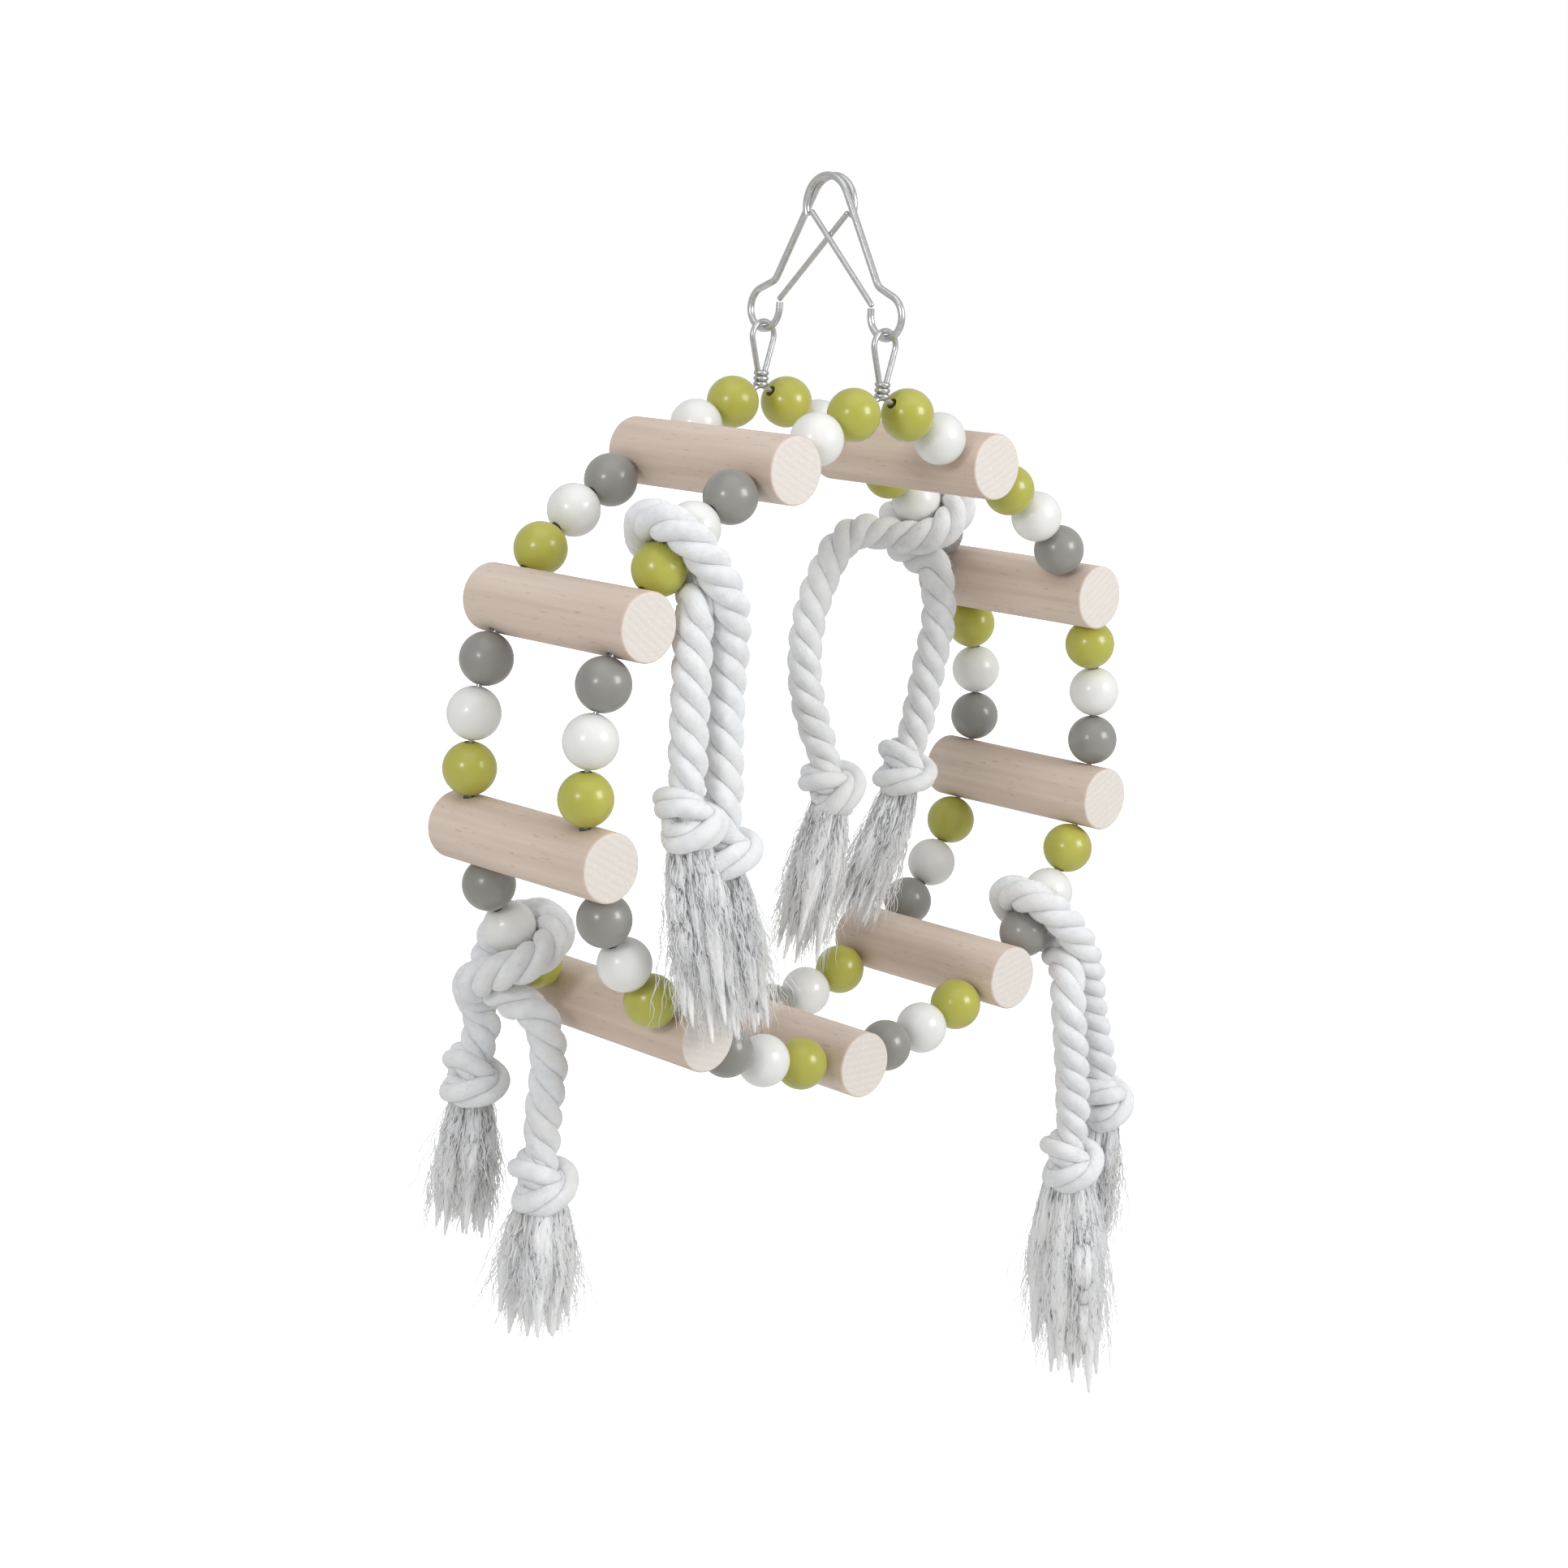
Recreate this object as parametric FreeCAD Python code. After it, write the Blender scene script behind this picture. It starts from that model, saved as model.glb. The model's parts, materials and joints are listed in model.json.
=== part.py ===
"""Ring-shaped rope ladder for a bird cage, in millimetres, hanging plumb from a bar.

Two parallel rings of wire carry nine wooden rungs and strings of lacquered beads. Each ring's wire
ends in an eye at its top, and a snap hook of bent wire holds each eye. The two hooks lean together
and share the bar. Four short cotton ropes are hitched to the rings; both tails of each rope end in a
knot and a frayed tassel.

The origin is where the bar carries the hooks: the inner top of their upper bends. +Z is up, the rungs
lie along Y, the front ring is on the -Y side, and left and right are -X and +X.
"""
import FreeCAD, Part
import math
import os

Vector = FreeCAD.Vector

# Rungs, beads and wire
BEAD_DIAMETER = 15.0
RUNG_DIAMETER = 19.0
RUNG_LENGTH = 67.0
RUNG_EASING = 0.7
RUNG_COUNT = 9
RING_WIRE = 1.6
HOLE = 3.2
STRING_PLAY = 0.2

# Ring outline: a wide arc below, two side arcs, and two straight roof lines that meet at the eye
RING_SPACING = 49.4
RING_HALF_WIDTH = 101.0
RING_LOW = 88.5
SIDE_RADIUS = 84.0
ROOF_SLOPE = math.radians(26.0)
ROOF_BEND = 4.0

# Snap hooks
HOOK_WIRE = 2.0
GATE_WIRE = 1.6
HOOK_HEIGHT = 44.0
HOOK_TOP_RADIUS = 8.5
HOOK_LOOP_RADIUS = 6.0
HOOK_KINK = (21.2, 14.0)
HOOK_KINK_RADIUS = 4.0
HOOK_NOSE_ANGLE = 200.0
HOOK_OFFSET = 1.3
GATE_PIVOT_HEIGHT = 9.0
GATE_TIP = (-6.0, 33.6)
RUNNING_GAP = 0.3

# Hanging eyes
EYE_RADIUS = 4.2
EYE_NECK_WIDTH = 1.9
EYE_NECK_HEIGHT = 2.4
EYE_WRAPS = 3
WRAP_CORE = 1.4

# Ropes
ROPE_DIAMETER = 11.0
HITCH_RADIUS = 9.6
HITCH_ROPE = 8.4
KNOT_WIDTH = 20.0
KNOT_HEIGHT = 16.0
TASSEL_NECK = 12.0

# The eyes ride on the lowest point of each hook, so all heights follow from the hooks
HINGE_Z = HOOK_WIRE / 2 - HOOK_HEIGHT
EYE_TOP_Z = HINGE_Z + HOOK_WIRE / 2 + RUNNING_GAP + RING_WIRE / 2
EYE_TO_RING = 18.0
RING_TOP_Z = EYE_TOP_Z - EYE_TO_RING

# Side arc centres stand off the middle so that the ring has its width; the wide arc is tangent to both
SIDE_CENTRE_X = RING_HALF_WIDTH - SIDE_RADIUS
LOW_RADIUS = (SIDE_CENTRE_X**2 + RING_LOW**2 - SIDE_RADIUS**2) / (2 * (RING_LOW - SIDE_RADIUS))
LOW_CENTRE_Z = LOW_RADIUS - RING_LOW
LOW_ANGLE = math.atan2(SIDE_CENTRE_X, LOW_CENTRE_Z)
LOW_LENGTH = LOW_RADIUS * LOW_ANGLE
SIDE_LENGTH = SIDE_RADIUS * (math.pi - LOW_ANGLE - ROOF_SLOPE)
EAVE_X = SIDE_CENTRE_X + SIDE_RADIUS * math.sin(ROOF_SLOPE)
EAVE_Z = SIDE_RADIUS * math.cos(ROOF_SLOPE)
ROOF_TOP = EAVE_Z + EAVE_X * math.tan(ROOF_SLOPE)
RING_CENTRE_Z = RING_TOP_Z - ROOF_TOP

# Bead colours between two rungs, read clockwise from the front, and from a top rung up to the eye
COLOURS = ("olive", "white", "grey")
ROOF_COLOURS = ("white", "olive")

# Each rope, measured from the ring's centre: the two bead colours and the gap that its turn sits
# between, where its tails cross under the wire, then for both tails the route from there to the
# knot, the knot, and the tassel's low end and width
ROPES = {
    "front_left": {
        "colours": ("olive", "white"),
        "gap": 8,
        "crossing": (-65.0, -30.0, 50.5),
        "tails": (
            {
                "route": [(-61.0, -31.0, 38.0), (-61.0, -33.0, 24.0), (-62.5, -35.0, 9.0), (-63.5, -37.0, -5.0)],
                "knot": (-64.0, -38.5, -17.0),
                "tassel": (-59.5, -46.0, -69.0),
                "width": 22.0,
            },
            {
                "route": [(-73.0, -32.0, 42.0), (-74.5, -34.0, 29.0), (-75.5, -35.0, 16.0), (-76.5, -36.5, 4.0)],
                "knot": (-75.5, -36.5, -8.0),
                "tassel": (-71.5, -46.5, -67.0),
                "width": 20.0,
            },
        ),
    },
    "front_right": {
        "colours": ("white", "grey"),
        "gap": 3,
        "crossing": (88.5, -32.0, -66.0),
        "tails": (
            {
                "route": [
                    (82.5, -37.0, -70.5),
                    (80.0, -40.0, -79.0),
                    (81.5, -40.5, -90.0),
                    (84.5, -40.0, -103.0),
                    (87.0, -39.5, -117.5),
                ],
                "knot": (88.0, -39.0, -131.0),
                "tassel": (96.0, -38.0, -206.0),
                "width": 30.0,
            },
            {
                "route": [(95.0, -33.0, -73.5), (98.5, -33.0, -84.0), (103.0, -33.0, -96.0), (106.5, -33.0, -106.5)],
                "knot": (108.5, -32.5, -116.0),
                "tassel": (111.0, -25.0, -180.0),
                "width": 20.0,
            },
        ),
    },
    "back_right": {
        "colours": ("white", "grey"),
        "gap": 1,
        "crossing": (64.5, 22.0, 50.5),
        "tails": (
            {
                "route": [
                    (60.0, 28.0, 56.0),
                    (51.0, 32.0, 57.5),
                    (43.0, 33.0, 52.5),
                    (38.0, 33.5, 43.0),
                    (34.0, 34.0, 32.0),
                    (32.0, 33.5, 19.0),
                    (32.5, 32.0, 6.0),
                    (37.0, 29.5, -8.0),
                ],
                "knot": (41.5, 28.0, -21.0),
                "tassel": (22.0, 19.0, -72.5),
                "width": 20.0,
            },
            {
                "route": [
                    (70.5, 16.0, 43.0),
                    (71.0, 14.5, 31.0),
                    (68.0, 14.5, 19.0),
                    (66.0, 15.0, 6.0),
                    (64.5, 16.0, -5.0),
                ],
                "knot": (62.0, 17.0, -15.5),
                "tassel": (44.0, 18.5, -64.5),
                "width": 17.0,
            },
        ),
    },
    "back_left": {
        "colours": ("olive", "white"),
        "gap": 6,
        "crossing": (-89.0, 25.0, -64.0),
        "tails": (
            {
                "route": [(-86.5, 32.5, -68.5), (-83.5, 37.0, -76.5), (-84.0, 37.5, -86.0)],
                "knot": (-86.0, 37.5, -95.0),
                "tassel": (-87.0, 39.0, -143.0),
                "width": 22.0,
            },
            {
                "route": [
                    (-85.0, 17.0, -69.0),
                    (-80.0, 13.0, -77.0),
                    (-78.5, 12.5, -88.0),
                    (-79.5, 13.5, -99.5),
                    (-79.0, 14.0, -110.5),
                ],
                "knot": (-78.5, 14.0, -121.0),
                "tassel": (-81.0, 13.0, -167.0),
                "width": 28.0,
            },
        ),
    },
}


def side_sign(name):
    """-1 for the front ring, on the -Y side, and 1 for the back ring."""
    return -1 if name == "front" else 1


def ring_y(name):
    """The plane of a ring."""
    return side_sign(name) * RING_SPACING / 2


def from_ring_centre(point):
    """A point given from the ring's centre, in the row's frame."""
    x, y, z = point
    return Vector(x, y, z + RING_CENTRE_Z)


def ring_point(length):
    """The ring's outline in X and Z, and its heading, at an arc length from its lowest point.

    Positive lengths run up the right side, negative lengths up the left side.
    """
    side = 1 if length >= 0 else -1
    along = abs(length)
    if along < LOW_LENGTH:
        heading = along / LOW_RADIUS
        x = LOW_RADIUS * math.sin(heading)
        z = LOW_CENTRE_Z - LOW_RADIUS * math.cos(heading)
    elif along < LOW_LENGTH + SIDE_LENGTH:
        heading = LOW_ANGLE + (along - LOW_LENGTH) / SIDE_RADIUS
        x = SIDE_CENTRE_X + SIDE_RADIUS * math.sin(heading)
        z = -SIDE_RADIUS * math.cos(heading)
    else:
        heading = math.pi - ROOF_SLOPE
        run = along - LOW_LENGTH - SIDE_LENGTH
        x = EAVE_X + run * math.cos(heading)
        z = EAVE_Z + run * math.sin(heading)
    return Vector(side * x, 0, z + RING_CENTRE_Z), Vector(side * math.cos(heading), 0, math.sin(heading))


def string_lengths():
    """Arc lengths of the rungs and beads on a ring: rung number or (colour, side, gap) to length.

    Rung 1 is at the upper right and the numbers run clockwise, so rung 5 is the lowest.
    """
    bead_step = BEAD_DIAMETER + STRING_PLAY
    rung_step = (BEAD_DIAMETER + RUNG_DIAMETER) / 2 + STRING_PLAY
    middle = (RUNG_COUNT + 1) // 2
    lengths = {middle: 0.0}
    for side, direction, colours in (("right", 1, COLOURS[::-1]), ("left", -1, COLOURS)):
        along = 0.0
        for step in range(1, middle):
            gap = middle - step if side == "right" else middle + step - 1
            for order, colour in enumerate(colours):
                along += rung_step if order == 0 else bead_step
                lengths[(colour, side, gap)] = direction * along
            along += rung_step
            lengths[middle - direction * step] = direction * along
        for order, colour in enumerate(ROOF_COLOURS):
            along += rung_step if order == 0 else bead_step
            lengths[(colour, side, "roof")] = direction * along
    return lengths


def drilled(solid, centre, heading, reach):
    """A solid with the wire's hole through it."""
    start = centre - heading * reach
    return solid.cut(Part.makeCylinder(HOLE / 2, 2 * reach, start, heading))


def rung(length):
    """A dowel with eased ends, drilled across for both rings."""
    centre, heading = ring_point(length)
    start = centre - Vector(0, RUNG_LENGTH / 2, 0)
    dowel = Part.makeCylinder(RUNG_DIAMETER / 2, RUNG_LENGTH, start, Vector(0, 1, 0))
    rims = [edge for edge in dowel.Edges if isinstance(edge.Curve, Part.Circle)]
    dowel = dowel.makeFillet(RUNG_EASING, rims)
    for name in ("front", "back"):
        dowel = drilled(dowel, centre + Vector(0, ring_y(name), 0), heading, RUNG_DIAMETER)
    return dowel


def bead(length, name):
    """A bead on one ring, turned about the wire with its hole open."""
    centre, heading = ring_point(length)
    half_hole = math.sqrt((BEAD_DIAMETER / 2) ** 2 - (HOLE / 2) ** 2)
    low = Vector(HOLE / 2, 0, -half_hole)
    high = Vector(HOLE / 2, 0, half_hole)
    outline = Part.Wire([arc(low, Vector(BEAD_DIAMETER / 2, 0, 0), high), straight(high, low)])
    ball = Part.Face(outline).revolve(Vector(), Vector(0, 0, 1), 360)
    ball.Placement = FreeCAD.Placement(
        centre + Vector(0, ring_y(name), 0), FreeCAD.Rotation(Vector(0, 0, 1), heading)
    )
    return ball


def bead_group(lengths, colour, name, side):
    """All beads of one colour on one half of one ring."""
    places = [at for key, at in lengths.items() if isinstance(key, tuple) and key[:2] == (colour, side)]
    return Part.makeCompound([bead(at, name) for at in places])


def bar_along(edges, radius):
    """A round bar along lines and arcs that follow on tangentially."""
    pieces = []
    for edge in edges:
        first, last = edge.FirstParameter, edge.LastParameter
        start = edge.valueAt(first)
        disc = Part.Face(Part.Wire(Part.makeCircle(radius, start, edge.tangentAt(first))))
        if isinstance(edge.Curve, Part.Circle):
            turn = math.degrees(last - first)
            pieces.append(disc.revolve(edge.Curve.Center, edge.Curve.Axis, turn))
        else:
            pieces.append(disc.extrude(edge.valueAt(last) - start))
    bar = pieces[0]
    if len(pieces) > 1:
        bar = bar.multiFuse(pieces[1:])
    return bar.removeSplitter()


def straight(start, end):
    """A straight edge."""
    return Part.LineSegment(start, end).toShape()


def arc(start, middle, end):
    """An arc through three points."""
    return Part.Arc(start, middle, end).toShape()


def rounded_route(points, radii):
    """Straight runs joined by tangent arcs, one radius per inner point."""
    edges = []
    start = points[0]
    for before, corner, after, radius in zip(points, points[1:], points[2:], radii):
        back = (before - corner).normalize()
        ahead = (after - corner).normalize()
        half_turn = (math.pi - back.getAngle(ahead)) / 2
        cut = radius * math.tan(half_turn)
        inward = (back + ahead).normalize()
        centre = corner + inward * (radius / math.cos(half_turn))
        entry = corner + back * cut
        leave = corner + ahead * cut
        edges.append(straight(start, entry))
        edges.append(arc(entry, centre - inward * radius, leave))
        start = leave
    edges.append(straight(start, points[-1]))
    return edges


def cord_radii(points):
    """The largest arcs that the runs allow: 0.45 of the shorter run over the half turn's tangent."""
    radii = []
    for before, corner, after in zip(points, points[1:], points[2:]):
        shorter = min((before - corner).Length, (after - corner).Length)
        half_turn = (math.pi - (before - corner).getAngle(after - corner)) / 2
        radii.append(0.45 * shorter / math.tan(half_turn))
    return radii


def ring_wire(name):
    """The wire that all beads and rungs of one ring are strung on, bent up to the eye at its top."""
    y = ring_y(name)
    across = Vector(0, y, 0)

    def at(length):
        return ring_point(length)[0] + across

    half_low = LOW_LENGTH
    eave = LOW_LENGTH + SIDE_LENGTH
    middle = LOW_LENGTH + SIDE_LENGTH / 2
    top = Vector(0, y, RING_TOP_Z)
    right_arc = arc(at(half_low), at(middle), at(eave))
    roof = rounded_route([at(eave), top, at(-eave)], [ROOF_BEND])
    left_arc = arc(at(-eave), at(-middle), at(-half_low))
    low_arc = arc(at(-half_low), at(0), at(half_low))
    return bar_along([right_arc, *roof, left_arc, low_arc], RING_WIRE / 2)


def hanging_eye(name):
    """The teardrop that the ring's wire ends are bent into, with its wrapped neck."""
    y = ring_y(name)
    loop_z = EYE_TOP_Z - EYE_RADIUS
    neck_z = RING_TOP_Z + EYE_NECK_HEIGHT
    half_neck = EYE_NECK_WIDTH / 2
    spread = math.asin((EYE_RADIUS - half_neck) / (loop_z - neck_z))
    shoulder = Vector(EYE_RADIUS * math.cos(spread), y, loop_z - EYE_RADIUS * math.sin(spread))
    across = Vector(-shoulder.x, y, shoulder.z)
    neck = Vector(half_neck * math.cos(spread), y, neck_z - half_neck * math.sin(spread))
    neck_across = Vector(-neck.x, y, neck.z)
    edges = [
        straight(neck, shoulder),
        arc(shoulder, Vector(0, y, EYE_TOP_Z), across),
        straight(across, neck_across),
        arc(neck_across, Vector(0, y, neck_z - half_neck), neck),
    ]
    return bar_along(edges, RING_WIRE / 2).fuse(wrapped_neck(y))


def wrapped_neck(y):
    """The turns of wire round an eye's neck, as one ribbed collar on the ring's highest point."""
    base = Vector(0, y, RING_TOP_Z - RING_WIRE / 2)
    start = base + Vector(WRAP_CORE, 0, 0)
    outline = [straight(base, start)]
    for _ in range(EYE_WRAPS):
        end = start + Vector(0, 0, RING_WIRE)
        outline.append(arc(start, (start + end) / 2 + Vector(RING_WIRE / 2, 0, 0), end))
        start = end
    top = Vector(0, y, start.z)
    outline.append(straight(start, top))
    outline.append(straight(top, base))
    return Part.Face(Part.Wire(outline)).revolve(base, Vector(0, 0, 1), 360)


def tangent_point(point, centre, radius, side):
    """Where a line from a point touches a circle; side is 1 or -1."""
    away_y, away_z = point[0] - centre[0], point[1] - centre[1]
    angle = math.atan2(away_z, away_y) + side * math.acos(radius / math.hypot(away_y, away_z))
    return on_circle(centre, radius, math.degrees(angle))


def on_circle(centre, radius, degrees):
    """A point of a circle in a hook's plane."""
    angle = math.radians(degrees)
    return centre[0] + radius * math.cos(angle), centre[1] + radius * math.sin(angle)


def in_hook_plane(point):
    """A hook-plane point, out along Y and up from the loop's lowest point."""
    return Vector(0, point[0], point[1])


def hung(shape, name):
    """A back hook's shape, moved to its place, or mirrored for the front hook.

    Each hook leans a little to its own side, so that the two upper bends lie side by side on the bar.
    """
    lean = math.degrees(math.atan2(HOOK_OFFSET, HOOK_HEIGHT))
    if name == "front":
        shape = shape.mirror(Vector(), Vector(0, 1, 0))
        lean = -lean
    shape.rotate(Vector(), Vector(0, 1, 0), lean)
    shape.translate(Vector(0, 0, HINGE_Z))
    return shape


def hook_frame(name):
    """One bent wire: nose, upper bend over the bar, leg, kink, and the loop that carries the eye."""
    top_centre = (0, HOOK_HEIGHT - HOOK_TOP_RADIUS)
    loop_centre = (RING_SPACING / 2, HOOK_LOOP_RADIUS)
    shoulder = tangent_point(HOOK_KINK, top_centre, HOOK_TOP_RADIUS, 1)
    loop_start = tangent_point(HOOK_KINK, loop_centre, HOOK_LOOP_RADIUS, -1)
    loop_end = on_circle(loop_centre, HOOK_LOOP_RADIUS, 180)
    stub_end = (loop_end[0], GATE_PIVOT_HEIGHT - GATE_WIRE / 2 - RUNNING_GAP)
    nose = on_circle(top_centre, HOOK_TOP_RADIUS, HOOK_NOSE_ANGLE)
    top = on_circle(top_centre, HOOK_TOP_RADIUS, 100)
    low = on_circle(loop_centre, HOOK_LOOP_RADIUS, -60)
    points = [in_hook_plane(point) for point in (shoulder, HOOK_KINK, loop_start)]
    edges = [arc(in_hook_plane(nose), in_hook_plane(top), points[0])]
    edges += rounded_route(points, [HOOK_KINK_RADIUS])
    edges.append(arc(points[2], in_hook_plane(low), in_hook_plane(loop_end)))
    edges.append(straight(in_hook_plane(loop_end), in_hook_plane(stub_end)))
    return hung(bar_along(edges, HOOK_WIRE / 2), name)


def hook_gate(name):
    """The springy side of a hook, which opens inwards from its nose to take the bar."""
    pivot = in_hook_plane((RING_SPACING / 2 - HOOK_LOOP_RADIUS, GATE_PIVOT_HEIGHT))
    tip = in_hook_plane(GATE_TIP)
    wire = bar_along([straight(pivot, tip)], GATE_WIRE / 2)
    ends = [Part.makeSphere(GATE_WIRE / 2, end) for end in (pivot, tip)]
    return hung(wire.multiFuse(ends), name)


def hitch(lengths, name, rope):
    """A rope's turn round the wire, squeezed between two beads."""
    ring, side = name.split("_")
    places = [lengths[(colour, side, rope["gap"])] for colour in rope["colours"]]
    centre, heading = ring_point(sum(places) / len(places))
    return Part.makeTorus(HITCH_RADIUS, HITCH_ROPE / 2, centre + Vector(0, ring_y(ring), 0), heading)


def rope_tail(route):
    """A tail as a plain tube from the crossing into the knot, with the radii of its bends and its length."""
    points = [from_ring_centre(point) for point in route]
    radii = cord_radii(points)
    edges = rounded_route(points, radii)
    length = sum(edge.Length for edge in edges)
    return bar_along(edges, ROPE_DIAMETER / 2), radii, length


def knot(centre):
    """The overhand knot at the end of a tail, as a squat ball."""
    ball = Part.makeSphere(KNOT_WIDTH / 2)
    squash = FreeCAD.Matrix()
    squash.scale(1, 1, KNOT_HEIGHT / KNOT_WIDTH)
    shape = ball.transformGeometry(squash)
    shape.translate(from_ring_centre(centre))
    return shape


def tassel(centre, low_end, width):
    """The frayed end below a knot, as a plain flared cone."""
    start = from_ring_centre(centre) - Vector(0, 0, KNOT_HEIGHT / 4)
    run = from_ring_centre(low_end) - start
    return Part.makeCone(TASSEL_NECK / 2, width / 2, run.Length, start, run)


def save(shape, node):
    """Write one sub-part after checking that it is sound."""
    if not shape.isValid() or shape.Volume <= 0:
        raise ValueError(f"{node} is not a sound solid")
    shape.exportStep(f"parts/{node}.step")


def save_rope(lengths, name, rope):
    """Write the hitch, both tails, both knots and both tassels of one rope."""
    save(hitch(lengths, name, rope), f"{name}_rope_hitch")
    for number, tail in enumerate(rope["tails"], start=1):
        tube, radii, length = rope_tail([rope["crossing"], *tail["route"], tail["knot"]])
        plain = math.pi * (ROPE_DIAMETER / 2) ** 2 * length
        rounded = ", ".join(f"{radius:.0f}" for radius in radii)
        print(f"{name} tail {number}: {length:.0f} mm, radii {rounded} mm, volume ratio {tube.Volume / plain:.3f}")
        save(tube, f"{name}_rope_tail_{number}")
        save(knot(tail["knot"]), f"{name}_rope_knot_{number}")
        save(tassel(tail["knot"], tail["tassel"], tail["width"]), f"{name}_rope_tassel_{number}")


def main():
    """Write every sub-part."""
    os.makedirs("parts", exist_ok=True)
    lengths = string_lengths()
    for number in range(1, RUNG_COUNT + 1):
        save(rung(lengths[number]), f"rung_{number}")
    for name in ("front", "back"):
        save(ring_wire(name), f"{name}_ring_wire")
        save(hanging_eye(name), f"{name}_hanging_eye")
        save(hook_frame(name), f"{name}_hook_frame")
        save(hook_gate(name), f"{name}_hook_gate")
        for colour in COLOURS:
            for side in ("left", "right"):
                save(bead_group(lengths, colour, name, side), f"{colour}_beads_{name}_{side}")
    for name, rope in ROPES.items():
        save_rope(lengths, name, rope)


main()
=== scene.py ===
"""Looks of the ring-shaped rope ladder, in metres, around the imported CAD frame.

Rungs, beads, ring wires, eyes and hooks stay CAD nodes and get their materials here. The ropes, their
knots and their frayed ends are built here, in place of plain CAD solids.
"""
import bpy
import json
import math
import random
from mathutils import Matrix, Vector


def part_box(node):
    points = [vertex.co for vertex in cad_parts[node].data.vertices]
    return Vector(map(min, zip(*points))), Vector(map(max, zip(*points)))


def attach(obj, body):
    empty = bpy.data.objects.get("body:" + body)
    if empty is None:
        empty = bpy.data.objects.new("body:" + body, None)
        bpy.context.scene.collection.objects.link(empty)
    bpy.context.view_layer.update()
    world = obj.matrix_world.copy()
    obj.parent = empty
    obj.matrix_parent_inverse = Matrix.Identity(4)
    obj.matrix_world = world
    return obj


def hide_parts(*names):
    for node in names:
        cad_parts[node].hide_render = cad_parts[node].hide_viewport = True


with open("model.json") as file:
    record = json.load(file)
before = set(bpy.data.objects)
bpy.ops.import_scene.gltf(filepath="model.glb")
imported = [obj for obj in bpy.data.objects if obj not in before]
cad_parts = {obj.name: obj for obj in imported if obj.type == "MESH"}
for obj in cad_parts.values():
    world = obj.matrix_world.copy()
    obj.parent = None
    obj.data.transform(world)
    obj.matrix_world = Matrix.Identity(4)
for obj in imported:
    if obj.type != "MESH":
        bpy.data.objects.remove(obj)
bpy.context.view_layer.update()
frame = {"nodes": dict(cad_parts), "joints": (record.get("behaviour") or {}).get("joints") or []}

MM = 0.001

# The ring's centre lies above its wire's lowest point by the ring's own depth
RING_DEPTH = 0.0893
RING_CENTRE = Vector((0, 0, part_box("front_ring_wire")[0].z + RING_DEPTH))

# Camera
CAMERA_AZIMUTH = math.radians(-44.32)
CAMERA_ELEVATION = math.radians(9.63)
CAMERA_ROLL = math.radians(3.12)
CAMERA_DISTANCE = 0.840
CAMERA_LENS = 66.61
CAMERA_SHIFT = (-0.0107, -0.0261)

# Lights and floor
LIGHT_DISTANCE = 1.3
FLOOR_SIZE = 40
FLOOR_Z = -1.2

# Rope: three strands laid up together, each with a surface of yarns and two slow swells (share, rate)
ROPE_DIAMETER = 0.0110
STRAND_RADIUS = 0.00285
STRAND_PATH_RADIUS = ROPE_DIAMETER / 2 - STRAND_RADIUS
ROPE_LAY = 0.0215
YARN_LAY = 0.030
YARNS = 13
YARN_DEPTH = 0.00016
SIDES_PER_YARN = 4
SWELLS = ((0.025, 410), (0.020, 930))
END_FADE = 10
END_THINNING = 0.2
FUZZ_RADIUS = 0.00004
ROPE_FUZZ = 1400

# The turn round the wire: its radius, and the angle between two of its control points in degrees
TURN_RADIUS = 0.0106
TURN_STEP = 30

# Knots, whose rope is pulled tighter than the tails; each one hangs along its tail's last points
KNOT_ROPE_SCALE = 0.92
KNOT_SPREAD = 0.78
KNOT_SIZE = 0.90
KNOT_LAY = 0.045
KNOT_FUZZ = 500
TAIL_END_POINTS = 12

# Frayed ends: a closed heart, locks round it, and fibres (thickness, count). The loose ends hang a
# little past the CAD cone.
TASSEL_START = 0.004
TASSEL_NECK = 0.0045
TASSEL_LENGTH = 1.06
TASSEL_ROWS = 36
FLARE_POWER = 0.6
HEART_LENGTH = 0.82
HEART_SHARE = 0.92
HEART_SIDES = 120
LOCKS = 13
LOCK_TURN = 0.382
LOCK_PLACE = 0.72
LOCK_LENGTH = 0.95
LOCK_SIDES = 36
FIBRES = ((0.00022, 420), (0.00012, 300))
FIBRE_SEGMENTS = 20
ROUND_FIBRE = 0.0002

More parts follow.
